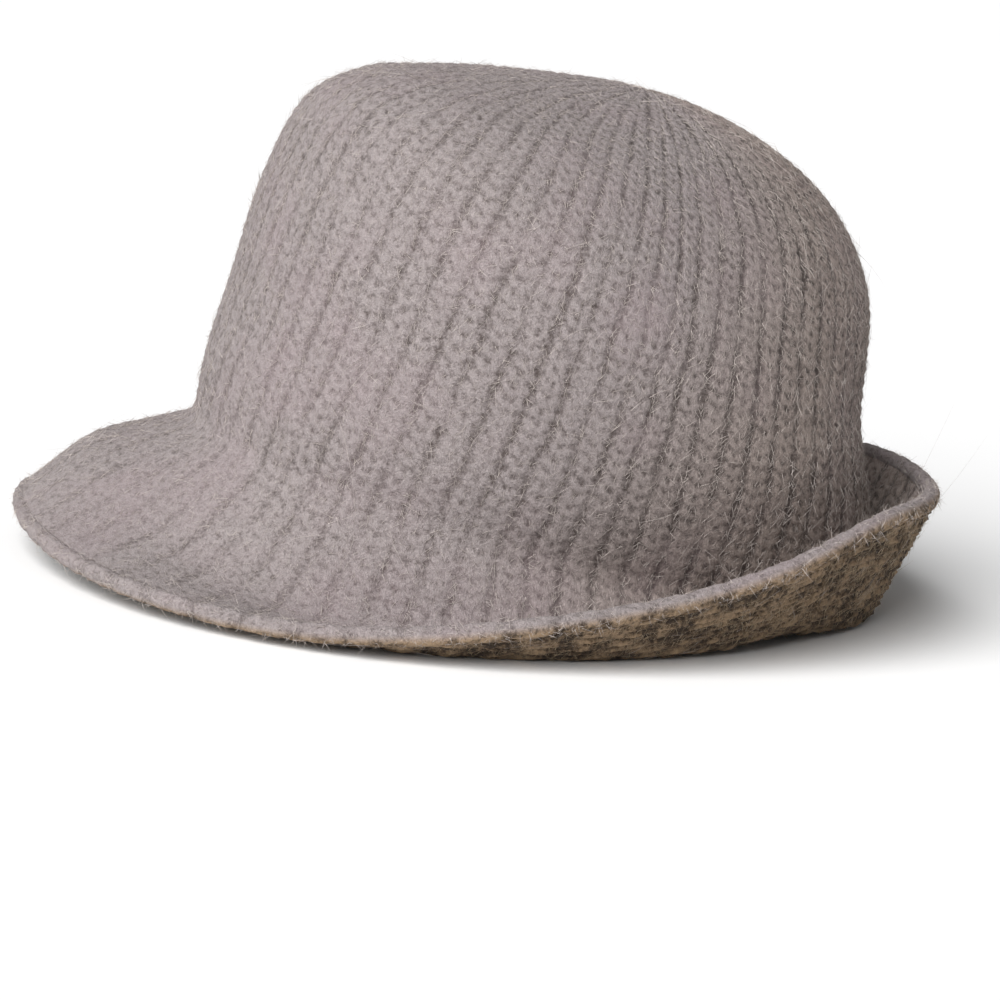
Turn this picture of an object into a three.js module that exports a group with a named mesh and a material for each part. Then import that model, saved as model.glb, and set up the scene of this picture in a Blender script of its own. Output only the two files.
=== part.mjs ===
// A knit bucket hat: a domed crown, a brim that slopes down in front and is turned up behind, and
// a rolled edge round the brim. Millimetres, +Z up. The hat rests on the plane z = 0 by itself,
// its front faces -Y and the wearer's left is +X.

import * as THREE from "three";

// Driving dimensions of the knit.
const wall = 4; // thickness of the knit
const rollRadius = 2.8; // the rolled edge is a row of the knit folded over on itself
const gap = 0.3; // clearance between neighbouring pieces
const seamBend = 9; // length of brim over which the knit bends out of the crown's wall
const foldHalf = 0.18; // half length of the brim's fold, as a share of the brim's width
const squareness = 2.2; // of the head opening: 2 is an ellipse, more is squarer

// The brim is worn pulled round: the place where it slopes down most is this many degrees from the
// middle of the front, towards the wearer's right.
const brimTurn = 23;

// How the hat rests on the lowest places of its brim: the seam leans back, then to the wearer's
// left, and the soft knit is pressed flat where it touches.
const restLean = 8.8;
const restTilt = 4.4;
const restFlat = 1;

// Fineness of the faceted solids.
const turns = 72; // facets round the hat
const crownRings = 20;
const brimRings = 14;
const rollSides = 8;

// Ovals of the crown, from the seam with the brim to the top. up is the height above the seam, lift
// is how much higher the oval is in front (and lower behind), middle is how far it sits towards the
// back, and front, back and side are how far it reaches from its middle.
const crownSections = [
  { up: 0, lift: 2.6, middle: 2, front: 101, back: 109.5, side: 84.4 },
  { up: 9.8, lift: 8.6, middle: -1.1, front: 98.7, back: 115, side: 86.6 },
  { up: 26.5, lift: 16, middle: -5, front: 93, back: 118, side: 89 },
  { up: 48, lift: 24, middle: -8, front: 88.5, back: 114, side: 90 },
  { up: 72, lift: 26, middle: -9.5, front: 81, back: 105.5, side: 85.5 },
  { up: 96, lift: 14, middle: -8, front: 70, back: 98.5, side: 70 },
  { up: 110.5, lift: 4.5, middle: -4.5, front: 60, back: 77, side: 50 },
  { up: 120.5, lift: 0, middle: 0, front: 39.5, back: 42, side: 27 },
  { up: 125.5, lift: 0, middle: 4, front: 0, back: 0, side: 0 },
];

// The brim's profiles, evenly spaced along half of the seam from where the brim slopes down most to
// the far side, and the same along the other half. width is along the knit, inner and outer are
// the slopes in degrees on each side of the fold, up is positive, and fold is its place as a share
// of the width.
const brimSections = [
  { width: 58.5, inner: -27.5, outer: -54, fold: 0.61 },
  { width: 57.7, inner: -46, outer: -32, fold: 0.67 },
  { width: 58.2, inner: -57.5, outer: 5, fold: 0.68 },
  { width: 55.6, inner: -57, outer: 36, fold: 0.55 },
  { width: 51, inner: -52, outer: 54.5, fold: 0.36 },
  { width: 46.2, inner: -46, outer: 69.5, fold: 0.09 },
  { width: 43.5, inner: -43.5, outer: 79, fold: -0.05 },
];

// Past the top an oval's reaches and lift change sign, so the crown runs smoothly over its top.
const acrossTheTop = { up: 1, lift: -1, middle: 1, front: -1, back: -1, side: -1 };

const radians = THREE.MathUtils.degToRad;
const smooth = (value) => THREE.MathUtils.smoothstep(value, 0, 1);
const lastOf = (list) => list[list.length - 1];

// Each column's value at a place between the rows, on a smooth cubic through all of them.
function rowAt(rows, place, before, after) {
  const index = Math.min(Math.floor(place), rows.length - 2);
  const share = place - index;
  const a = rows[index - 1] ?? before;
  const b = rows[index];
  const c = rows[index + 1];
  const d = rows[index + 2] ?? after;
  const row = {};
  for (const column of Object.keys(b)) {
    const linear = c[column] - a[column];
    const square = 2 * a[column] - 5 * b[column] + 4 * c[column] - d[column];
    const cube = 3 * b[column] - a[column] - 3 * c[column] + d[column];
    row[column] = b[column] + (share * (linear + share * (square + share * cube))) / 2;
  }
  return row;
}

// A row made column by column from two others.
function mixRows(one, other, rule) {
  const row = {};
  for (const column of Object.keys(one)) row[column] = rule(one[column], other[column], column);
  return row;
}

const belowSeam = mixRows(crownSections[0], crownSections[1], (seam, next) => 2 * seam - next);
const beyondTop = mixRows(
  crownSections[crownSections.length - 2],
  acrossTheTop,
  (reach, sign) => reach * sign,
);

// The crown's outside at an angle from the front and at a rise from the seam (0) to the top (1).
function crownPoint(angle, rise) {
  const oval = rowAt(crownSections, rise * (crownSections.length - 1), belowSeam, beyondTop);
  const squared = (value) => Math.sign(value) * Math.abs(value) ** (2 / squareness);
  const across = THREE.MathUtils.lerp(squared(Math.sin(angle)), Math.sin(angle), rise);
  const ahead = THREE.MathUtils.lerp(squared(Math.cos(angle)), Math.cos(angle), rise);
  const reach = ahead > 0 ? oval.front : oval.back;
  return new THREE.Vector3(
    oval.side * across,
    oval.middle - reach * ahead,
    oval.up + oval.lift * ahead,
  );
}

// Angles that share the length of the seam evenly, the first one at the back.
function evenAngles(count) {
  const steps = 2000;
  const angles = [];
  const lengths = [0];
  for (let i = 0; i <= steps; i += 1) angles.push(-Math.PI + (2 * Math.PI * i) / steps);
  for (let i = 1; i <= steps; i += 1) {
    const stretch = crownPoint(angles[i], 0).distanceTo(crownPoint(angles[i - 1], 0));
    lengths.push(lastOf(lengths) + stretch);
  }
  const even = [];
  let i = 1;
  for (let k = 0; k < count; k += 1) {
    const length = (lastOf(lengths) * k) / count;
    while (lengths[i] < length) i += 1;
    const share = (length - lengths[i - 1]) / (lengths[i] - lengths[i - 1]);
    even.push(THREE.MathUtils.lerp(angles[i - 1], angles[i], share));
  }
  return even;
}

// The brim's upper side at one angle, from the seam to the edge. The knit leaves the seam along the
// crown's wall, bends to the inner slope, and turns to the outer slope at the fold. shareOfHalf runs
// from 0 where the brim slopes down most to 1 on the far side.
function brimPoints(angle, shareOfHalf) {
  const nearby = 0.001;
  const seam = crownPoint(angle, 0);
  const along = crownPoint(angle + nearby, 0).sub(crownPoint(angle - nearby, 0));
  const outward = new THREE.Vector3(along.y, -along.x, 0).normalize();
  if (outward.dot(seam) < 0) outward.negate();
  const wallWay = seam.clone().sub(crownPoint(angle, 4 * nearby));
  let wallSlope = Math.atan2(wallWay.z, wallWay.dot(outward));
  if (wallSlope > 0) wallSlope -= 2 * Math.PI;
  const place = shareOfHalf * (brimSections.length - 1);
  const profile = rowAt(
    brimSections,
    place,
    brimSections[1],
    brimSections[brimSections.length - 2],
  );
  const slopeAt = (share) => {
    const turned = smooth((share - profile.fold + foldHalf) / (2 * foldHalf));
    const slope = radians(THREE.MathUtils.lerp(profile.inner, profile.outer, turned));
    return THREE.MathUtils.lerp(wallSlope, slope, smooth((share * profile.width) / seamBend));
  };
  const substeps = 4;
  const points = [seam];
  const point = seam.clone();
  for (let ring = 0; ring < brimRings; ring += 1) {
    for (let k = 0; k < substeps; k += 1) {
      const slope = slopeAt((ring + (k + 0.5) / substeps) / brimRings);
      const length = profile.width / brimRings / substeps;
      point.addScaledVector(outward, length * Math.cos(slope));
      point.z += length * Math.sin(slope);
    }
    points.push(point.clone());
  }
  return points;
}

// The hat's outer side as a grid: for each angle, points from the top over the seam to the edge.
function sheetGrid() {
  return evenAngles(turns).map((angle, index) => {
    const shareOfGirth = (index / turns + brimTurn / 360) % 1;
    const crownColumn = [];
    for (let ring = 0; ring < crownRings; ring += 1) {
      crownColumn.push(crownPoint(angle, 1 - ring / crownRings));
    }
    return [...crownColumn, ...brimPoints(angle, Math.abs(2 * shareOfGirth - 1))];
  });
}

// Directions away from the head, square to the grid, and along the profile towards the edge.
function gridFrames(grid) {
  const frames = grid.map((column, index) => {
    const left = grid[(index + 1) % grid.length];
    const right = grid[(index + grid.length - 1) % grid.length];
    return column.map((point, ring) => {
      const above = column[Math.max(ring - 1, 0)];
      const below = column[Math.min(ring + 1, column.length - 1)];
      const onward = below.clone().sub(above).normalize();
      const sideways = left[ring].clone().sub(right[ring]);
      return { onward, away: onward.clone().cross(sideways).normalize() };
    });
  });
  const top = new THREE.Vector3();
  for (const column of frames) top.add(column[1].away);
  for (const column of frames) column[0].away = top.clone().normalize();
  return frames;
}

// A closed surface from loops of points, one loop at each angle, joined all the way round.
function ringGeometry(loops) {
  const size = loops[0].length;
  const faces = [];
  for (let i = 0; i < loops.length; i += 1) {
    const next = (i + 1) % loops.length;
    for (let k = 0; k < size; k += 1) {
      const after = (k + 1) % size;
      const [a, b] = [i * size + k, i * size + after];
      const [c, d] = [next * size + after, next * size + k];
      faces.push(a, b, c, a, c, d);
    }
  }
  return geometryOf(loops.flat(), faces);
}

// A closed surface from strips of points, one at each angle, whose first and last points are shared.
function domeGeometry(strips) {
  const size = strips[0].length - 2;
  const first = strips.length * size;
  const last = first + 1;
  const faces = [];
  for (let i = 0; i < strips.length; i += 1) {
    const here = i * size;
    const next = ((i + 1) % strips.length) * size;
    faces.push(first, here, next);
    for (let k = 0; k < size - 1; k += 1) {
      const [a, b] = [here + k, here + k + 1];
      const [c, d] = [next + k + 1, next + k];
      faces.push(a, b, c, a, c, d);
    }
    faces.push(here + size - 1, last, next + size - 1);
  }
  const points = strips.flatMap((strip) => strip.slice(1, -1));
  return geometryOf([...points, strips[0][0], lastOf(strips[0])], faces);
}

function geometryOf(points, faces) {
  const geometry = new THREE.BufferGeometry().setFromPoints(points);
  geometry.setIndex(faces);
  geometry.computeVertexNormals();
  return geometry;
}

const grid = sheetGrid();
const frames = gridFrames(grid);

// The loop round a stretch of the knit's wall at one angle, from ring to ring: down the outer side
// and back up the inner side, drawn back by half the gap at an end that meets a neighbour.
function wallLoop(index, from, to, gapAtStart, gapAtEnd) {
  const outside = [];
  const inside = [];
  for (let ring = from; ring <= to; ring += 1) {
    const { away, onward } = frames[index][ring];
    const point = grid[index][ring].clone();
    if (ring === from) point.addScaledVector(onward, gapAtStart / 2);
    if (ring === to) point.addScaledVector(onward, -gapAtEnd / 2);
    outside.push(point);
    inside.unshift(point.clone().addScaledVector(away, -wall));
  }
  return [...outside, ...inside];
}

// The rolled edge's section at one angle, just beyond the middle of the brim's outer end.
function rollLoop(index) {
  const { away, onward } = lastOf(frames[index]);
  const centre = lastOf(grid[index]).clone().addScaledVector(away, -wall / 2);
  centre.addScaledVector(onward, gap + rollRadius);
  const loop = [];
  for (let k = 0; k < rollSides; k += 1) {
    const angle = (-2 * Math.PI * (k + 0.5)) / rollSides;
    const point = centre.clone().addScaledVector(onward, rollRadius * Math.cos(angle));
    loop.push(point.addScaledVector(away, rollRadius * Math.sin(angle)));
  }
  return loop;
}

const seamRing = crownRings;
const edgeRing = crownRings + brimRings;
const everyAngle = grid.map((_, index) => index);
const crownStrips = everyAngle.map((index) => wallLoop(index, 0, seamRing, 0, gap));
const brimLoops = everyAngle.map((index) => wallLoop(index, seamRing, edgeRing, gap, 0));
const rollLoops = everyAngle.map(rollLoop);

// Sets the hat down: leans it, lowers it until it is pressed flat by restFlat where it touches the
// plane z = 0, and centres it over the origin.
function setDown(loops) {
  const points = loops.flat(2);
  const lean = new THREE.Matrix4().makeRotationX(radians(-restLean));
  lean.premultiply(new THREE.Matrix4().makeRotationY(radians(restTilt)));
  for (const point of points) point.applyMatrix4(lean);
  const box = new THREE.Box3().setFromPoints(points);
  const middle = box.getCenter(new THREE.Vector3());
  const shift = new THREE.Vector3(-middle.x, -middle.y, -box.min.z - restFlat);
  for (const point of points) {
    point.add(shift);
    point.z = Math.max(point.z, 0);
  }
}
setDown([crownStrips, brimLoops, rollLoops]);

function knitMesh(name, geometry, color) {
  const material = new THREE.MeshStandardMaterial({ color, roughness: 0.95, metalness: 0 });
  const mesh = new THREE.Mesh(geometry, material);
  mesh.name = name;
  return mesh;
}

const hat = new THREE.Group();
hat.name = "knit_bucket_hat";
hat.add(knitMesh("crown", domeGeometry(crownStrips), 0x94898a));
hat.add(knitMesh("brim", ringGeometry(brimLoops), 0x8c807c));
hat.add(knitMesh("brim_edge", ringGeometry(rollLoops), 0xa0948f));

export default hat;
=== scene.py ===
"""The looks of a knit bucket hat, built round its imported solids. Shapes are worked out in
millimetres and put into the meshes in metres, +Z up, the hat's front towards -Y."""

import math

import bpy
import numpy as np
from bpy.props import FloatProperty, IntProperty, PointerProperty, StringProperty
from mathutils import Matrix, Vector


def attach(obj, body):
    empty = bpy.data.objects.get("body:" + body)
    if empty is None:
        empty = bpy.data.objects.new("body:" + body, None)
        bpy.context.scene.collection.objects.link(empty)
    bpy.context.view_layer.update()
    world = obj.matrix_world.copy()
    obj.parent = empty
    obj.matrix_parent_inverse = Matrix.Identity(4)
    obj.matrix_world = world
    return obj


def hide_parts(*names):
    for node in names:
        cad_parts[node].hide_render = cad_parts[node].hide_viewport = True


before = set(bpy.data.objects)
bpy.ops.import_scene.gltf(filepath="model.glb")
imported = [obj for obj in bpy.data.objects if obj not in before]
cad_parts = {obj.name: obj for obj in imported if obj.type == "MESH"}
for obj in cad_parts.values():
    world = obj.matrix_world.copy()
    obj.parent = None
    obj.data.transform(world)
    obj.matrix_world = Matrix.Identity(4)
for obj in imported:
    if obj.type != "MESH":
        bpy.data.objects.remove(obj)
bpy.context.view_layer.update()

bl_info = {
    "name": "Knit bucket hat",
    "version": (1, 0, 0),
    "blender": (4, 5, 0),
    "location": "View3D > Sidebar > Hat",
    "description": "Builds the knit, the rolled edge and the fuzz of a bucket hat",
    "category": "Add Mesh",
}

# The hat's own sizes, the same as its solids have. Millimetres and degrees.
WALL = 4.0  # thickness of the knit
ROLL_RADIUS = 2.8  # of the rolled edge
GAP = 0.3  # between neighbouring pieces
SEAM_BEND = 9.0  # length of brim over which the knit bends out of the crown's wall
FOLD_HALF = 0.18  # half length of the brim's fold, as a share of the brim's width
SQUARENESS = 2.2  # of the head opening: 2 is an ellipse, more is squarer
BRIM_TURN = 23.0  # degrees that the brim is pulled round towards the wearer's right
REST_LEAN = 8.8  # degrees that the seam leans back as the hat rests
REST_TILT = 4.4  # degrees that it then leans to the wearer's left
REST_SHIFT = (3.057, 5.924, 28.186)  # from the middle of the seam's plane to the rest frame

# Ovals of the crown from the seam to the top.
# columns: up, lift in front, middle, reach to the front, back and side
CROWN_SECTIONS = np.array(
    [
        (0, 2.6, 2, 101, 109.5, 84.4),
        (9.8, 8.6, -1.1, 98.7, 115, 86.6),
        (26.5, 16, -5, 93, 118, 89),
        (48, 24, -8, 88.5, 114, 90),
        (72, 26, -9.5, 81, 105.5, 85.5),
        (96, 14, -8, 70, 98.5, 70),
        (110.5, 4.5, -4.5, 60, 77, 50),
        (120.5, 0, 0, 39.5, 42, 27),
        (125.5, 0, 4, 0, 0, 0),
    ]
)
ACROSS_THE_TOP = np.array([1, -1, 1, -1, -1, -1])  # signs of the columns past the top

# The brim's profiles from where it slopes down most to the far side.
# columns: width, slope inside and outside the fold, the fold's share of the width
BRIM_SECTIONS = np.array(
    [
        (58.5, -27.5, -54, 0.61),
        (57.7, -46, -32, 0.67),
        (58.2, -57.5, 5, 0.68),
        (55.6, -57, 36, 0.55),
        (51, -52, 54.5, 0.36),
        (46.2, -46, 69.5, 0.09),
        (43.5, -43.5, 79, -0.05),
    ]
)


class KnitSettings(bpy.types.PropertyGroup):
    """Sizes of the knit's ribs and stitches."""

    ribs: IntProperty(name="Ribs", description="Ribs round the hat", default=64, min=16)
    stitch: FloatProperty(
        name="Stitch", description="Height of a stitch", default=0.004, unit="LENGTH"
    )
    relief: FloatProperty(
        name="Relief", description="Depth of the ribs", default=0.001, unit="LENGTH"
    )
    purl_relief: FloatProperty(
        name="Purl relief", description="Depth of the purl side", default=0.0014, unit="LENGTH"
    )
    turn: FloatProperty(
        name="Turn",
        description="How far the ribs turn from the seam to the top",
        default=math.radians(11),
        subtype="ANGLE",
    )


class FuzzSettings(bpy.types.PropertyGroup):
    """Sizes and numbers of the loose fibres."""

    crown_fibres: IntProperty(name="Crown", description="Short fibres on the crown", default=48000)
    brim_fibres: IntProperty(name="Brim", description="Short fibres on the brim", default=40000)
    edge_fibres: IntProperty(name="Edge", description="Short fibres on the edge", default=7000)
    long_fibres: IntProperty(name="Long", description="Long fibres on the hat", default=2400)
    length: FloatProperty(
        name="Length", description="Mean length of a short fibre", default=0.0028, unit="LENGTH"
    )
    thickness: FloatProperty(
        name="Thickness", description="Thickness at the root", default=0.00016, unit="LENGTH"
    )


class ColourSettings(bpy.types.PropertyGroup):
    """Colours as sRGB hex values."""

    rib: StringProperty(name="Rib", description="Top of the knit's ribs", default="#A39998")
    # Painted shade: darker between the ribs, where the fibres shade each other.
    valley: StringProperty(name="Valley", description="Between the ribs", default="#584E4B")
    patch: StringProperty(name="Patch", description="Patches of lilac fibres", default="#A28F93")
    # The underside's colours are painted shade and warm reflected light on the same yarn, darker
    # still in the gaps of its nap.
    under: StringProperty(name="Underside", description="Brim's underside", default="#A98F72")
    under_valley: StringProperty(
        name="Underside valley", description="Gaps in its nap", default="#35271A"
    )
    fibre: StringProperty(name="Fibre", description="Loose fibres", default="#B5ABA5")
    # Painted shade and warm reflected light on the fibres below the brim.
    under_fibre: StringProperty(
        name="Underside fibre", description="Loose fibres below the brim", default="#B5A288"
    )
    floor: StringProperty(name="Floor", description="Floor of the studio", default="#FBFBFB")


class StudioSettings(bpy.types.PropertyGroup):
    """Camera and light."""

    azimuth: FloatProperty(
        name="Azimuth",
        description="Camera, from the front towards the wearer's left",
        default=math.radians(63.47),
        subtype="ANGLE",
    )
    elevation: FloatProperty(
        name="Elevation",
        description="Camera, above the horizon",
        default=math.radians(10.04),
        subtype="ANGLE",
    )
    roll: FloatProperty(
        name="Roll", description="Camera", default=math.radians(6.32), subtype="ANGLE"
    )
    distance: FloatProperty(
        name="Distance", description="Camera to its aim", default=1.167, unit="LENGTH"
    )
    lens: FloatProperty(
        name="Lens", description="Focal length on a 36 mm sensor", default=140.3, unit="CAMERA"
    )
    key: FloatProperty(
        name="Key light", description="Soft light from the upper left, in W/m2", default=5.0
    )
    sky: FloatProperty(name="Sky", description="Light from all sides", default=0.19)


AIM = (2.18, 2.51, 24.51)  # millimetres, the point that the camera looks at
SETTINGS = {
    "hat_knit": KnitSettings,
    "hat_fuzz": FuzzSettings,
    "hat_colours": ColourSettings,
    "hat_studio": StudioSettings,
}


# The hat's form


def smooth_rows(table, place, before, after):
    """Columns of a table between its rows, on a cubic through all rows (Catmull-Rom)."""
    rows = np.vstack([before, table, after])
    index = np.clip(np.floor(place).astype(int), 0, len(table) - 2)
    share = (place - index)[..., None]
    a, b, c, d = (rows[index + k] for k in range(4))
    cube = 3 * b - a - 3 * c + d
    return b + share * (c - a + share * (2 * a - 5 * b + 4 * c - d + share * cube)) / 2


def ease(value):
    """0 below 0, 1 above 1, and a smooth step between: 3 v squared less 2 v cubed."""
    value = np.clip(value, 0, 1)
    return value * value * (3 - 2 * value)


def squared(value):
    """A sine or cosine made squarer: its size to the power 2 over the squareness."""
    return np.sign(value) * np.abs(value) ** (2 / SQUARENESS)


def crown_point(angle, rise):
    """The crown's outside at an angle from the front and a rise from 0, the seam, to 1, the top:
    an oval with its own reach to the front, back and side, tilted by its lift."""
    oval = smooth_rows(
        CROWN_SECTIONS,
        rise * (len(CROWN_SECTIONS) - 1),
        2 * CROWN_SECTIONS[0] - CROWN_SECTIONS[1],
        CROWN_SECTIONS[-2] * ACROSS_THE_TOP,
    )
    up, lift, middle, front, back, side = np.moveaxis(oval, -1, 0)
    across = squared(np.sin(angle)) * (1 - rise) + np.sin(angle) * rise
    ahead = squared(np.cos(angle)) * (1 - rise) + np.cos(angle) * rise
    reach = np.where(ahead > 0, front, back)
    return np.stack([side * across, middle - reach * ahead, up + lift * ahead], -1)


def girth_angle(share):
    """The angle at a share of the seam's girth, measured from the middle of the back."""
    angles = np.linspace(-np.pi, np.pi, 2001)
    seam = crown_point(angles, np.zeros_like(angles))
    girth = np.append(0, np.cumsum(np.linalg.norm(np.diff(seam, axis=0), axis=1)))
    whole = np.floor(share)
    return np.interp((share - whole) * girth[-1], girth, angles) + 2 * np.pi * whole


def crown_sheet(shares, rows, turn):
    """The crown's outside on a grid, columns along the ribs, rows from the seam to the top and even
    along each column. The ribs turn by an angle that grows with the rise. Returns the points, the
    rise of each and the mean length of a column."""
    fine = np.linspace(0, 1, 601)
    columns = len(shares)

    def points_at(rise):
        angle = girth_angle(shares[:, None] + turn / (2 * np.pi) * rise)
        return crown_point(angle, rise)

    dense = points_at(np.broadcast_to(fine, (columns, len(fine))))
    steps = np.linalg.norm(np.diff(dense, axis=1), axis=2)
    gone = np.hstack([np.zeros((columns, 1)), np.cumsum(steps, axis=1)])
    apart = 2 * np.arange(columns)[:, None]
    known = (gone / gone[:, -1:] + apart).ravel()
    wanted = np.linspace(0, 1, rows)[None, :] + apart
    rise = np.interp(wanted, known, np.tile(fine, columns))
    return points_at(rise), rise, gone[:, -1].mean()


def brim_sheet(shares, steps):
    """The brim's upper side on a grid, rows from the seam to the edge. Each profile starts along
    the crown's wall, bends to its inner slope, and turns to its outer slope at the fold. Its
    points are the running sum of short steps along that slope."""
    fine = 4  # short steps for each row
    nearby = 0.001  # radians to the points that give the seam's direction
    angle = girth_angle(shares)
    nought = np.zeros_like(angle)
    seam = crown_point(angle, nought)
    along = crown_point(angle + nearby, nought) - crown_point(angle - nearby, nought)
    outward = np.stack([along[:, 1], -along[:, 0]], -1)
    outward /= np.linalg.norm(outward, axis=1)[:, None]
    outward *= np.sign((outward * seam[:, :2]).sum(axis=1))[:, None]
    wall_way = seam - crown_point(angle, nought + 4 * nearby)
    wall_slope = np.arctan2(wall_way[:, 2], (wall_way[:, :2] * outward).sum(axis=1))
    wall_slope = np.where(wall_slope > 0, wall_slope - 2 * np.pi, wall_slope)[:, None]
    place = np.abs(2 * ((shares + BRIM_TURN / 360) % 1) - 1) * (len(BRIM_SECTIONS) - 1)
    rows = smooth_rows(BRIM_SECTIONS, place, BRIM_SECTIONS[1], BRIM_SECTIONS[-2])
    width, inner, outer, fold = (rows[:, k, None] for k in range(4))
    share = (np.arange(steps * fine) + 0.5) / (steps * fine)
    turned = ease((share - fold + FOLD_HALF) / (2 * FOLD_HALF))
    slope = np.radians(inner + (outer - inner) * turned)
    slope = wall_slope + (slope - wall_slope) * ease(share * width / SEAM_BEND)
    length = width / (steps * fine)
    start = np.zeros((len(shares), 1))
    out = np.hstack([start, np.cumsum(length * np.cos(slope), axis=1)])[:, ::fine]
    up = np.hstack([start, np.cumsum(length * np.sin(slope), axis=1)])[:, ::fine]
    flat = seam[:, None, :2] + outward[:, None] * out[..., None]
    return np.concatenate([flat, (seam[:, 2, None] + up)[..., None]], axis=2)


def directions(sheet, towards_edge):
    """Unit directions of a grid that closes round the hat: along its rows towards the edge, and
    away from the head, square to the grid."""
    sideways = np.roll(sheet, -1, axis=0) - np.roll(sheet, 1, axis=0)
    onward = np.gradient(sheet, axis=1) * towards_edge
    away = np.cross(onward, sideways)
    away /= np.maximum(np.linalg.norm(away, axis=2, keepdims=True), 1e-9)
    onward /= np.maximum(np.linalg.norm(onward, axis=2, keepdims=True), 1e-9)
    return onward, away


def set_down(points):
    """Leans the hat, lowers it onto the surface, and presses flat what would go below it."""
    lean = Matrix.Rotation(math.radians(REST_TILT), 3, "Y")
    lean = np.array(lean @ Matrix.Rotation(math.radians(-REST_LEAN), 3, "X"))
    placed = points @ lean.T + np.array(REST_SHIFT)
    floor, soft = 0.12, 0.7
    height = placed[..., 2]
    pressed = floor + soft * np.exp(np.minimum(height - floor - soft, 0) / soft)
    placed[..., 2] = np.where(height < floor + soft, pressed, height)
    return placed


# Stitches


def patchy(x, y, seed, period):
    """Smooth random values from -1 to 1: a random number at each point of a unit lattice, which
    repeats after a period in x, and an eased blend of the four nearest ones between them."""
    rows = 512
    lattice = np.random.default_rng(seed).uniform(-1, 1, (period, rows))
    i, j = np.floor(x).astype(int), np.floor(y).astype(int)
    u, v = ease(x - i), ease(y - j)
    here, beside = i % period, (i + 1) % period
    below, above = j % rows, (j + 1) % rows
    low = lattice[here, below] * (1 - u) + lattice[beside, below] * u
    top = lattice[here, above] * (1 - u) + lattice[beside, above] * u
    return low * (1 - v) + top * v


def plain_side(rib, course, ribs):
    """Height of the knit's plain side from 0, in a valley, to 1. Each rib is a row of stitches, a
    stitch is a V of two legs that lean away from the rib's middle as they rise, with a small hole
    between them, and the ribs stand apart by a valley with a bar across it at each stitch. The
    brushed nap fills it all in unevenly, towards a height of 0.8."""
    rib = rib + 0.07 * patchy(rib, course / 2.1, 3, ribs)
    course = course + 0.16 * patchy(rib, course / 2.7, 4, ribs)
    across = np.abs(2 * (rib % 1) - 1)
    middle, half = 0.39, 0.47
    off = (across - middle) / half
    leg = np.where(off < 0, 1 - 0.5 * off**2, 1 - off**2).clip(0)
    bulge = 0.5 + 0.5 * np.cos(2 * np.pi * (course - 0.85 * across))
    hole = np.exp(-((across / 0.2) ** 2)) * (0.5 - 0.5 * np.cos(2 * np.pi * (course - 0.05)))
    bar = np.exp(-(((1 - across) / 0.3) ** 2)) * (0.5 + 0.5 * np.cos(2 * np.pi * (course - 0.3)))
    height = leg * (0.45 + 0.55 * bulge) - 0.25 * hole + 0.25 * bar
    nap = (0.1 + 0.4 * patchy(2 * rib, course / 2.5, 5, 2 * ribs)).clip(0)
    return np.clip(height + nap * (0.8 - height), 0, 1.2)


def purl_side(rib, course, ribs):
    """Height of the knit's purl side: rows of short arcs, bowed up over each rib."""
    course = course + 0.2 * patchy(rib, course, 6, ribs)
    bow = np.cos(2 * np.pi * rib)
    height = 0.5 + 0.5 * np.cos(2 * np.pi * (course + 0.17 * bow))
    uneven = 1 + 0.3 * patchy(2 * rib, 2 * course, 7, 2 * ribs)
    return np.clip(height * (0.75 + 0.25 * bow) * uneven, 0, 1.2)


# Meshes


def linear(hex_colour):
    """An sRGB hex colour as linear red, green, blue and alpha."""
    channels = np.array([int(hex_colour[k : k + 2], 16) for k in (1, 3, 5)]) / 255
    low = channels / 12.92
    high = ((channels + 0.055) / 1.055) ** 2.4
    return (*np.where(channels <= 0.04045, low, high).tolist(), 1.0)


def put_mesh(name, points, faces, material, **values):
    """A mesh piece from points in millimetres and lists of faces. Each of the values, one number
    for each point, becomes an attribute of its own name."""
    mesh = bpy.data.meshes.new(name)
    polygons = [polygon for group in faces for polygon in group.tolist()]
    mesh.from_pydata((points / 1000).astype(np.float32), [], polygons)
    mesh.shade_smooth()
    mesh.set_sharp_from_angle(angle=math.radians(65))
    for attribute, numbers in values.items():
        layer = mesh.attributes.new(attribute, "FLOAT", "POINT")
        layer.data.foreach_set("value", numbers.astype(np.float32))
    mesh.materials.append(material)
    piece = bpy.data.objects.new(name, mesh)
    bpy.context.scene.collection.objects.link(piece)
    return piece


def sheet_faces(first, columns, rows, flipped):
    """Four-sided faces of a grid that closes round the hat, the columns' points in a row."""
    i, j = np.meshgrid(np.arange(columns), np.arange(rows - 1), indexing="ij")
    here, beside = first + i * rows + j, first + (i + 1) % columns * rows + j
    quads = np.stack([here, here + 1, beside + 1, beside], -1).reshape(-1, 4)
    return quads[:, ::-1] if flipped else quads


def cap_faces(ring, pole, flipped):
    """Triangles from a closed ring of points to the pole that closes it."""
    fan = np.stack([np.full_like(ring, pole), ring, np.roll(ring, -1)], -1)
    return fan[:, ::-1] if flipped else fan


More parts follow.
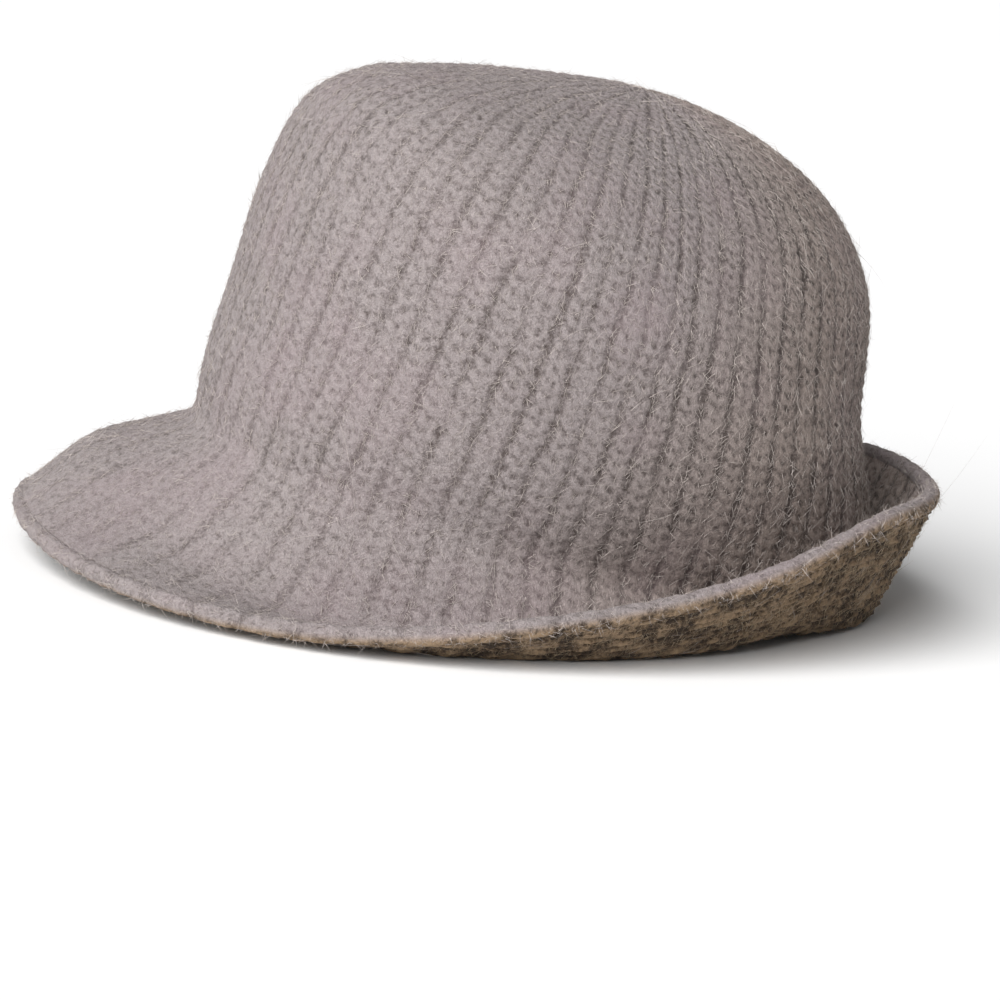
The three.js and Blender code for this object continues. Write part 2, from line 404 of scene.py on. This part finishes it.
def fibres(roots, ways, bends, lengths, thickness, rings):
    """Loose fibres, each a closed thin spike of three sides. Its middle line leaves the root along
    its way and curves by its bend times the square of the length gone, and its thickness shrinks
    evenly to the tip."""
    count = len(roots)
    unlike = np.roll(ways, 1, axis=1) + 0.013  # never in line with the way itself
    side = np.cross(ways, unlike)
    side /= np.linalg.norm(side, axis=1)[:, None]
    other = np.cross(ways, side)
    share = np.linspace(0, 1, rings + 1)
    gone = lengths[:, None, None] * share[None, :, None]
    line = roots[:, None] + ways[:, None] * gone
    line = line + bends[:, None] * (gone * share[None, :, None])
    turn = 2 * np.pi * np.arange(3) / 3
    around = side[:, None] * np.cos(turn)[None, :, None]
    around = around + other[:, None] * np.sin(turn)[None, :, None]
    radius = thickness / 2 * (1 - 0.75 * share[:-1])
    ring = line[:, :-1, None] + around[:, None] * radius[None, :, None, None]
    points = np.concatenate([ring.reshape(count, -1, 3), line[:, -1:]], axis=1)
    size = 3 * rings + 1
    first = (np.arange(count) * size)[:, None]
    base = first + np.array([2, 1, 0])
    last = 3 * (rings - 1)
    tips = [first + np.array([last + k, last + (k + 1) % 3, size - 1]) for k in range(3)]
    sides = [
        first + 3 * step + np.array([k, (k + 1) % 3, 3 + (k + 1) % 3, 3 + k])
        for step in range(rings - 1)
        for k in range(3)
    ]
    return points.reshape(-1, 3), [base, *tips, *sides]


# Materials


def add_node(tree, kind, values=None, links=None, **settings):
    """Adds a node, sets its settings and its sockets' values, and links sockets into it."""
    node = tree.nodes.new(kind)
    for name, value in settings.items():
        setattr(node, name, value)
    for socket, value in (values or {}).items():
        node.inputs[socket].default_value = value
    for socket, source in (links or {}).items():
        tree.links.new(source, node.inputs[socket])
    return node


def new_material(name):
    """An empty node material with its output."""
    material = bpy.data.materials.new(name)
    material.use_nodes = True
    material.node_tree.nodes.clear()
    output = material.node_tree.nodes.new("ShaderNodeOutputMaterial")
    return material, material.node_tree, output


def brushed_knit(name, colours):
    """Angora blend yarn, knitted on a machine and brushed. Darker between the ribs, where the
    fibres shade each other, with soft lilac patches, and a nap that catches light at a low
    angle. The nap's clumps are about 0.8 mm and its single fibres 0.3 mm. The underside is
    browner and darker, painted shade and warm reflected light on the same yarn, with darker
    blotches of about 4 mm; the same blotchy painted shade darkens and browns the top towards
    the back and the seam."""
    material, tree, output = new_material(name)
    place = add_node(tree, "ShaderNodeTexCoord").outputs["Object"]

    def attribute(of_points):
        node = add_node(
            tree, "ShaderNodeAttribute", attribute_name=of_points, attribute_type="GEOMETRY"
        )
        return node.outputs["Fac"]

    def noise(size, **values):
        node = add_node(
            tree, "ShaderNodeTexNoise", {"Scale": 1 / size, **values}, {"Vector": place}
        )
        return node.outputs["Fac"]

    def spread(value, low, high, to_low, to_high, smooth=False):
        ends = {"From Min": low, "From Max": high, "To Min": to_low, "To Max": to_high}
        kind = "SMOOTHSTEP" if smooth else "LINEAR"
        node = add_node(
            tree, "ShaderNodeMapRange", ends, {"Value": value}, interpolation_type=kind
        )
        return node.outputs["Result"]

    def calculate(operation, one, other):
        return add_node(
            tree, "ShaderNodeMath", links={0: one, 1: other}, operation=operation
        ).outputs[0]

    def mix(share, one, other):
        values = {key: linear(c) for key, c in {"A": one, "B": other}.items() if type(c) is str}
        links = {key: c for key, c in {"A": one, "B": other}.items() if type(c) is not str}
        node = add_node(
            tree, "ShaderNodeMix", values, {"Factor": share, **links}, data_type="RGBA"
        )
        return node.outputs["Result"]

    height, under = attribute("height"), attribute("under")
    clumps = noise(0.0016, Detail=4.0, Roughness=0.8)
    strands = noise(0.0006, Detail=2.0, Roughness=0.7, Distortion=1.5)
    patches = noise(0.034, Detail=2.0)
    blotches = noise(0.009, Detail=3.0, Roughness=0.65)
    depth = calculate("ADD", height, spread(clumps, 0.0, 1.0, -1.2, 1.2))
    # Painted shade, blotchy: where the under attribute is more, darker blotches of about 4 mm.
    blotchy_shade = calculate("MULTIPLY", under, spread(blotches, 0.36, 0.64, 0.5, -0.2))
    depth = calculate("SUBTRACT", depth, blotchy_shade)
    shade = spread(depth, -0.15, 0.95, 0.0, 1.0, smooth=True)
    # Painted shade and warm reflected light: as the under attribute grows, the colours turn to the
    # underside's browner ones.
    top = mix(under, colours.rib, colours.under)
    valley = mix(under, colours.valley, colours.under_valley)
    # Painted shade: low places, the valleys and the holes between the legs, take the darker valley
    # colour, broken up by random clumps.
    body = mix(shade, valley, top)
    tinted = mix(spread(patches, 0.45, 0.7, 0.0, 0.3), body, colours.patch)
    tinted = mix(under, tinted, body)
    colour = add_node(
        tree,
        "ShaderNodeVectorMath",
        links={0: tinted, "Scale": spread(strands, 0.3, 0.7, 0.84, 1.16)},
        operation="SCALE",
    ).outputs["Vector"]
    bump = add_node(
        tree,
        "ShaderNodeBump",
        {"Strength": 1.0, "Distance": 0.0008},
        {"Height": calculate("ADD", strands, clumps)},
    ).outputs["Normal"]
    shader = add_node(
        tree,
        "ShaderNodeBsdfPrincipled",
        {
            "Roughness": 0.95,
            "Specular IOR Level": 0.15,
            "Sheen Weight": 0.08,
            "Sheen Roughness": 0.5,
        },
        {"Base Color": colour, "Normal": bump},
    )
    tree.links.new(shader.outputs["BSDF"], output.inputs["Surface"])
    return material


def loose_fibre(name, colours):
    """Single angora hairs, drawn about 0.15 mm thick, coarser than real ones, so that they show.
    Pale and matte, browner on the underside with painted shade and warm reflected light, and a
    little uneven from hair to hair."""
    material, tree, output = new_material(name)
    place = add_node(tree, "ShaderNodeTexCoord").outputs["Object"]
    noise = add_node(
        tree, "ShaderNodeTexNoise", {"Scale": 1 / 0.004, "Detail": 1.0}, {"Vector": place}
    )
    light = add_node(
        tree,
        "ShaderNodeMapRange",
        {"From Min": 0.3, "From Max": 0.7, "To Min": 0.75, "To Max": 1.15},
        {"Value": noise.outputs["Fac"]},
    )
    # Painted shade and warm reflected light: browner below the brim.
    under = add_node(
        tree, "ShaderNodeAttribute", attribute_name="under", attribute_type="GEOMETRY"
    )
    hue = add_node(
        tree,
        "ShaderNodeMix",
        {"A": linear(colours.fibre), "B": linear(colours.under_fibre)},
        {"Factor": under.outputs["Fac"]},
        data_type="RGBA",
    )
    shade = add_node(
        tree,
        "ShaderNodeVectorMath",
        links={0: hue.outputs["Result"], "Scale": light.outputs["Result"]},
        operation="SCALE",
    )
    shader = add_node(
        tree,
        "ShaderNodeBsdfPrincipled",
        {"Roughness": 0.8, "IOR": 1.4},
        {"Base Color": shade.outputs["Vector"]},
    )
    tree.links.new(shader.outputs["BSDF"], output.inputs["Surface"])
    return material


def painted_floor(name, colour):
    """Matte white paint, rolled on: plain, without a gloss that would mirror the hat."""
    material, tree, output = new_material(name)
    shader = add_node(
        tree, "ShaderNodeBsdfPrincipled", {"Base Color": linear(colour), "Roughness": 0.9}
    )
    tree.links.new(shader.outputs["BSDF"], output.inputs["Surface"])
    return material


# Pieces

COLUMNS_PER_RIB = 7
ROWS_PER_STITCH = 4
INSIDE_STEP = 4  # the inside's columns are this many times wider
EDGE_OVERLAP = 1.3  # millimetres that the brim's knit runs into the rolled edge
ROOT_DEPTH = 0.4  # millimetres that a fibre starts below the smooth surface
FIBRE_CURL = 0.35  # spread of the fibres' bends, as shares of their length


def seam_dip(distance):
    """How far the knit dips beside the seam, in millimetres: a bell, deepest at the seam."""
    depth, width = 0.1, 1.5
    return depth * np.exp(-((distance / width) ** 2))


def merged_ribs(rib, course, ribs, rises):
    """Height of the crown's ribs, with ribs taken in by pairs as the girth shrinks. Each blend is
    from a pattern to the one with half as many ribs, over about a stitch."""
    taken_in = (0.84, 0.925, 0.965)
    height = plain_side(rib, course, ribs)
    for level, place in enumerate(taken_in, start=1):
        share = 2**level
        half = plain_side(rib / share, course, ribs // share)
        height = height + (half - height) * ease((rises - place) / 0.02 + 0.5)
    return height * (1 - 0.8 * ease((rises - 0.97) / 0.03))


def blotchy_shade(shares, rises):
    """How much blotchy painted shade darkens and browns the knit, from 0 to 0.3: more towards
    the back, away from the key light, and towards the seam.
    """
    most, reach, spread, more_at_seam = 0.3, 0.26, 0.16, 0.1
    from_back = np.minimum(shares, 1 - shares)
    return most * ease((reach - from_back + more_at_seam * (1 - rises)) / spread)


def brushed(height, shares, most):
    """The ribs' height where the nap hides a share of their relief: none at the back, and most of
    it in front."""
    nap_height, start, spread = 0.75, 0.22, 0.26
    from_back = np.minimum(shares, 1 - shares)
    hidden = most * ease((from_back - start) / spread)
    return height + hidden[:, None] * (nap_height - height)


def finish_piece(piece, slot, *nodes):
    """Lets a piece ride on the hat and stand for its solids."""
    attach(piece, "root")
    if nodes:
        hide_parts(*nodes)


class HAT_OT_crown(bpy.types.Operator):
    """Knit crown: ribs outside, purls inside, closed at the top and hemmed at the seam"""

    bl_idname = "hat.crown"
    bl_label = "Crown"

    def execute(self, context):
        knit, colours = context.scene.hat_knit, context.scene.hat_colours
        columns = knit.ribs * COLUMNS_PER_RIB
        shares = np.arange(columns) / columns
        length = crown_sheet(shares[::COLUMNS_PER_RIB], 2, knit.turn)[2]
        courses = round(length / (knit.stitch * 1000))
        rows = courses * ROWS_PER_STITCH
        sheet, rises, length = crown_sheet(shares, rows + 1, knit.turn)
        away = directions(sheet, -1)[1]
        rib = (shares * knit.ribs)[:, None] + 0 * rises
        course = np.arange(rows + 1)[None, :] / ROWS_PER_STITCH + 0 * rib
        height = brushed(merged_ribs(rib, course, knit.ribs, rises), shares, 0.3)
        from_seam = np.arange(rows + 1)[None, :] / rows * length
        relief = knit.relief * 1000 * (height - 0.7) - seam_dip(from_seam)
        outside = sheet + away * relief[..., None]
        pole = outside[:, -1].mean(axis=0)
        outside, height = outside[:, :-1], height[:, :-1]
        coarse = slice(0, None, INSIDE_STEP)
        inner_sheet, inner_rises, _ = crown_sheet(shares[coarse], rows // 3 + 1, knit.turn)
        inner_away = directions(inner_sheet, -1)[1]
        inner_course = np.linspace(0, courses, rows // 3 + 1)[None, :] + 0 * inner_rises
        inner_height = purl_side(rib[coarse, :1] + 0 * inner_course, inner_course, knit.ribs)
        inner_height = inner_height * (1 - ease((inner_rises - 0.8) / 0.1))
        depth = WALL - knit.purl_relief * 1000 * (inner_height - 0.5)
        inside = inner_sheet - inner_away * depth[..., None]
        inner_pole = inside[:, -1].mean(axis=0)
        inside, inner_height = inside[:, :-1], inner_height[:, :-1]
        points = np.vstack(
            [outside.reshape(-1, 3), inside.reshape(-1, 3), pole[None], inner_pole[None]]
        )
        # In these two, the last two numbers are those of the poles.
        heights = np.concatenate([height.ravel(), inner_height.ravel(), [0.6, 0.4]])
        # Painted shade: the outside darkens and browns towards the back and the seam; the inside
        # takes half of the underside's painted shade.
        painted_shade = blotchy_shade(shares[:, None], rises[:, :-1]).ravel()
        under = np.concatenate([painted_shade, 0 * inner_height.ravel() + 0.5, [0, 0.5]])
        outer_rows, inner_rows = outside.shape[1], inside.shape[1]
        first = outside.shape[0] * outer_rows
        outer_ring = np.arange(columns) * outer_rows
        inner_ring = first + np.arange(len(inside)) * inner_rows
        hem = [np.roll(outer_ring, -k)[coarse] for k in range(INSIDE_STEP + 1)]
        hem = np.stack([*hem, np.roll(inner_ring, -1), inner_ring], -1)
        count = len(points)
        faces = [
            sheet_faces(0, columns, outer_rows, True),
            sheet_faces(first, len(inside), inner_rows, False),
            cap_faces(outer_ring + outer_rows - 1, count - 2, False),
            cap_faces(inner_ring + inner_rows - 1, count - 1, True),
            hem[:, ::-1],
        ]
        material = brushed_knit("brushed angora blend, knitted crown", colours)
        piece = put_mesh(
            "crown_knit", set_down(points), faces, material, height=heights, under=under
        )
        finish_piece(piece, "crown_knit", "crown")
        return {"FINISHED"}


class HAT_OT_brim(bpy.types.Operator):
    """Knit brim: ribs above, purls below"""

    bl_idname = "hat.brim"
    bl_label = "Brim"

    def execute(self, context):
        knit, colours = context.scene.hat_knit, context.scene.hat_colours
        columns = knit.ribs * COLUMNS_PER_RIB
        width = BRIM_SECTIONS[:, 0].mean()
        courses = round(width / (knit.stitch * 1000))
        rows = courses * ROWS_PER_STITCH
        shares = np.arange(columns) / columns
        sheet = brim_sheet(shares, rows)
        onward, away = directions(sheet, 1)
        sheet = np.concatenate([sheet, sheet[:, -1:] + onward[:, -1:] * EDGE_OVERLAP], axis=1)
        away = np.concatenate([away, away[:, -1:]], axis=1)
        rows += 1
        rib = (shares * knit.ribs)[:, None] + np.zeros(rows + 1)
        course = -np.arange(rows + 1)[None, :] / ROWS_PER_STITCH + 0 * rib
        dip = seam_dip(np.arange(rows + 1)[None, :] / rows * width)
        above = brushed(plain_side(rib, course, knit.ribs), shares, 0.45)
        below = purl_side(rib, course, knit.ribs)
        top = sheet + away * (knit.relief * 1000 * (above - 0.7) - dip)[..., None]
        depth = WALL + knit.purl_relief * 1000 * (below - 0.5) - dip
        bottom = sheet - away * depth[..., None]
        points = np.vstack([top.reshape(-1, 3), bottom.reshape(-1, 3)])
        first = columns * (rows + 1)
        ring = np.arange(columns) * (rows + 1)
        beside = np.roll(ring, -1)
        faces = [
            sheet_faces(0, columns, rows + 1, False),
            sheet_faces(first, columns, rows + 1, True),
            np.stack([ring, beside, first + beside, first + ring], -1),
            np.stack([ring, first + ring, first + beside, beside], -1) + rows,
        ]
        material = brushed_knit("brushed angora blend, knitted brim", colours)
        # The finish shows the purls with half the contrast of the ribs.
        heights = np.concatenate([above.ravel(), 0.25 + 0.5 * below.ravel()])
        # Painted shade: the top darkens and browns towards the back; the underside takes all of it,
        # with warm reflected light.
        painted_shade = (blotchy_shade(shares, 0.0)[:, None] + 0 * rib).ravel()
        under = np.concatenate([painted_shade, np.ones(first)])
        piece = put_mesh(
            "brim_knit", set_down(points), faces, material, height=heights, under=under
        )
        finish_piece(piece, "brim_knit", "brim")
        return {"FINISHED"}


def roll_sheet(shares, sides, radius):
    """The rolled edge on a grid: a circle at each share of the girth, just past the middle of the
    brim's outer end. It starts at the outermost point and goes round by way of the underside."""
    sheet = brim_sheet(shares, 24)
    onward, away = (way[:, -1] for way in directions(sheet, 1))
    centre = sheet[:, -1] - away * WALL / 2 + onward * (GAP + ROLL_RADIUS)
    turn = np.linspace(0, 2 * np.pi, sides + 1)
    ring = onward[:, None] * np.cos(turn)[None, :, None]
    ring = ring - away[:, None] * np.sin(turn)[None, :, None]
    return centre[:, None], ring * radius


class HAT_OT_edge(bpy.types.Operator):
    """Rolled edge: the ribs run on over it"""

    bl_idname = "hat.edge"
    bl_label = "Rolled edge"

    def execute(self, context):
        knit, colours = context.scene.hat_knit, context.scene.hat_colours
        columns = knit.ribs * COLUMNS_PER_RIB
        sides, stitches = 18, 4  # round the edge
        shares = np.arange(columns) / columns
        centre, ring = roll_sheet(shares, sides, 1.0)
        ring = ring[:, :-1]
        turn = 2 * np.pi * np.arange(sides) / sides
        rib = (shares * knit.ribs)[:, None] + 0 * turn
        course = turn[None, :] * stitches / (2 * np.pi) + 0 * rib
        height = plain_side(rib, course, knit.ribs)
        radius = ROLL_RADIUS - 0.2 + 0.7 * knit.relief * 1000 * (height - 0.6)
        points = (centre + ring * radius[..., None]).reshape(-1, 3)
        i, j = np.meshgrid(np.arange(columns), np.arange(sides), indexing="ij")
        here, beside = i * sides, (i + 1) % columns * sides
        after = (j + 1) % sides
        quads = np.stack([here + j, here + after, beside + after, beside + j], -1)
        material = brushed_knit("brushed angora blend, rolled edge", colours)
        # Stretched over the roll, the ribs show less. Below the roll the knit takes the underside's
        # painted shade and warm reflected light, brown.
        heights = 0.4 + 0.45 * height.ravel()
        under = (ease(0.35 + 0.9 * np.sin(turn - 0.35))[None, :] + 0 * rib).ravel()
        quads = [quads.reshape(-1, 4)]
        piece = put_mesh(
            "edge_knit", set_down(points), quads, material, height=heights, under=under
        )
        finish_piece(piece, "edge_knit", "brim_edge")
        return {"FINISHED"}


def scatter(sheet, onward, away, count, random):
    """Random roots, even over a grid's surface, with the grid's directions there."""
    sideways = np.roll(sheet, -1, axis=0) - sheet
    area = np.linalg.norm(np.cross(np.diff(sheet, axis=1), sideways[:, :-1]), axis=2)
    chosen = random.choice(area.size, count, p=(area / area.sum()).ravel())
    i, j = np.unravel_index(chosen, area.shape)
    u, v = random.random((2, count, 1))
    beside = (i + 1) % len(sheet)
    low = sheet[i, j] * (1 - u) + sheet[beside, j] * u
    top = sheet[i, j + 1] * (1 - u) + sheet[beside, j + 1] * u
    return low * (1 - v) + top * v, onward[i, j], away[i, j]


def grow(sheet, towards_edge, count, seed, length, rise, stray, thickness, rings, inward=0.0):
    """Fibres on a sheet: each leaves up or down along its rib, astray by a random angle with the
    given spread in radians, at its own rise from the surface, and curves to a side. rise is the
    lowest and highest angle in degrees. inward is how far the sheet's other side lies, in
    millimetres, where the fibres stand on that one."""
    random = np.random.default_rng(seed)
    onward, away = directions(sheet, towards_edge)
    roots, along, out = scatter(sheet, onward, away, count, random)
    if inward:
        roots = roots - out * inward
        out = -out
    beside = np.cross(out, along)
    heading = random.normal(0, stray, (count, 1)) + np.pi * random.integers(0, 2, (count, 1))
    lift = np.radians(random.uniform(*rise, (count, 1)))
    flat = along * np.cos(heading) + beside * np.sin(heading)
    ways = flat * np.cos(lift) + out * np.sin(lift)
    lengths = length * random.lognormal(0, 0.35, count)
    bends = np.cross(out, flat) * random.normal(0, FIBRE_CURL, (count, 1))
    bends = bends - out * np.abs(random.normal(0, FIBRE_CURL / 2, (count, 1)))
    roots = roots - out * ROOT_DEPTH
    ways /= np.linalg.norm(ways, axis=1)[:, None]
    return fibres(roots, ways, bends, lengths, thickness, rings)


def joined(parts):
    """Several groups of points and faces as one."""
    points, faces, first = [], [], 0
    for some, groups in parts:
        points.append(some)
        faces.extend(group + first for group in groups)
        first += len(some)
    return np.vstack(points), faces


class HAT_OT_fuzz(bpy.types.Operator):
    """Loose fibres that stand out of the knit"""

    bl_idname = "hat.fuzz"
    bl_label = "Fuzz"

    def execute(self, context):
        knit, fuzz = context.scene.hat_knit, context.scene.hat_fuzz
        hair = loose_fibre("brushed angora fibre", context.scene.hat_colours)
        shares = np.arange(4 * knit.ribs) / (4 * knit.ribs)
        crown = crown_sheet(shares, 121, knit.turn)[0]
        brim = brim_sheet(shares, 48)
        length, thickness = fuzz.length * 1000, fuzz.thickness * 1000
        short = dict(length=length, rise=(6, 34), stray=0.55, thickness=thickness, rings=1)
        points, faces = grow(crown, -1, fuzz.crown_fibres, 11, **short)
        piece = put_mesh("crown_fuzz", set_down(points), faces, hair)
        finish_piece(piece, "crown_knit")
        above = round(fuzz.brim_fibres * 0.55)
        sides = [
            grow(brim, 1, above, 12, **short),
            grow(brim, 1, fuzz.brim_fibres - above, 13, inward=WALL, **short),
        ]
        points, faces = joined(sides)
        # The fibres below the brim take the underside's painted shade and warm reflected light.
        under = np.repeat([0.0, 1.0], [len(side[0]) for side in sides])
        piece = put_mesh("brim_fuzz", set_down(points), faces, hair, under=under)
        finish_piece(piece, "brim_knit")
        centre, ring = roll_sheet(shares, 12, ROLL_RADIUS)
        edge = dict(length=0.8 * length, rise=(6, 36), stray=0.8, thickness=thickness, rings=1)
        points, faces = grow(centre + ring, 1, fuzz.edge_fibres, 17, **edge)
        piece = put_mesh("edge_fuzz", set_down(points), faces, hair)
        finish_piece(piece, "edge_knit")
        far = dict(length=11.0, rise=(2, 12), stray=1.0, thickness=0.7 * thickness, rings=5)
        upper = round(fuzz.long_fibres * 0.55)
        side = round(fuzz.long_fibres * 0.2)
        points, faces = joined(
            [
                grow(crown, -1, upper, 14, **far),
                grow(brim, 1, side, 15, **far),
                grow(brim, 1, fuzz.long_fibres - upper - side, 16, inward=WALL, **far),
            ]
        )
        piece = put_mesh("long_fibres", set_down(points), faces, hair)
        finish_piece(piece, "crown_knit")
        return {"FINISHED"}


class HAT_OT_studio(bpy.types.Operator):
    """Pale floor, soft lights and the camera"""

    bl_idname = "hat.studio"
    bl_label = "Studio"

    def execute(self, context):
        scene, studio = context.scene, context.scene.hat_studio
        reach = 30000.0  # millimetres from the hat to the floor's edge
        corners = np.array([(-1, -1, 0), (1, -1, 0), (1, 1, 0), (-1, 1, 0)]) * reach
        paint = painted_floor("matte white paint", scene.hat_colours.floor)
        floor = put_mesh("floor", corners, [np.array([[0, 1, 2, 3]])], paint)
        aim = Vector(AIM) / 1000
        back = Vector(
            (
                math.sin(studio.azimuth) * math.cos(studio.elevation),
                -math.cos(studio.azimuth) * math.cos(studio.elevation),
                math.sin(studio.elevation),
            )
        )
        camera = bpy.data.objects.new("camera", bpy.data.cameras.new("camera"))
        camera.data.lens = studio.lens
        camera.data.sensor_width = 36
        turned = (-back).to_track_quat("-Z", "Y").to_matrix() @ Matrix.Rotation(studio.roll, 3, "Z")
        camera.matrix_world = Matrix.Translation(aim + back * studio.distance) @ turned.to_4x4()
        scene.collection.objects.link(camera)
        scene.camera = camera
        left = back.cross(Vector((0, 0, 1))).normalized()
        lamp = bpy.data.objects.new("key_light", bpy.data.lights.new("key_light", "SUN"))
        lamp.data.angle = math.radians(50)
        lamp.data.energy = studio.key
        lamp.location = back * 0.8 + left * 0.45 + Vector((0, 0, 0.5))
        lamp.rotation_euler = lamp.location.to_track_quat("Z", "Y").to_euler()
        scene.collection.objects.link(lamp)
        world = bpy.data.worlds.new("studio")
        world.use_nodes = True
        sky = world.node_tree.nodes["Background"]
        sky.inputs["Color"].default_value = (1, 1, 1, 1)
        sky.inputs["Strength"].default_value = studio.sky
        scene.world = world
        scene.view_settings.view_transform = "Standard"
        return {"FINISHED"}


class HAT_PT_panel(bpy.types.Panel):
    """Lists the hat's pieces and settings"""

    bl_label = "Knit bucket hat"
    bl_idname = "HAT_PT_panel"
    bl_space_type = "VIEW_3D"
    bl_region_type = "UI"
    bl_category = "Hat"

    def draw(self, context):
        layout = self.layout
        for name, group in SETTINGS.items():
            box = layout.box()
            for key in group.__annotations__:
                box.prop(getattr(context.scene, name), key)
        for operator in OPERATORS:
            layout.operator(operator.bl_idname)


OPERATORS = (HAT_OT_crown, HAT_OT_brim, HAT_OT_edge, HAT_OT_fuzz, HAT_OT_studio)


def register():
    """Adds the settings, the operators and the panel to Blender."""
    for name, group in SETTINGS.items():
        bpy.utils.register_class(group)
        setattr(bpy.types.Scene, name, PointerProperty(type=group))
    for item in (*OPERATORS, HAT_PT_panel):
        bpy.utils.register_class(item)


def unregister():
    """Takes them out again."""
    for item in (HAT_PT_panel, *OPERATORS):
        bpy.utils.unregister_class(item)
    for name, group in SETTINGS.items():
        delattr(bpy.types.Scene, name)
        bpy.utils.unregister_class(group)


def main():
    """Builds the hat and the studio."""
    register()
    bpy.ops.hat.studio()
    bpy.ops.hat.crown()
    bpy.ops.hat.brim()
    bpy.ops.hat.edge()
    bpy.ops.hat.fuzz()


if __name__ == "__main__":
    main()
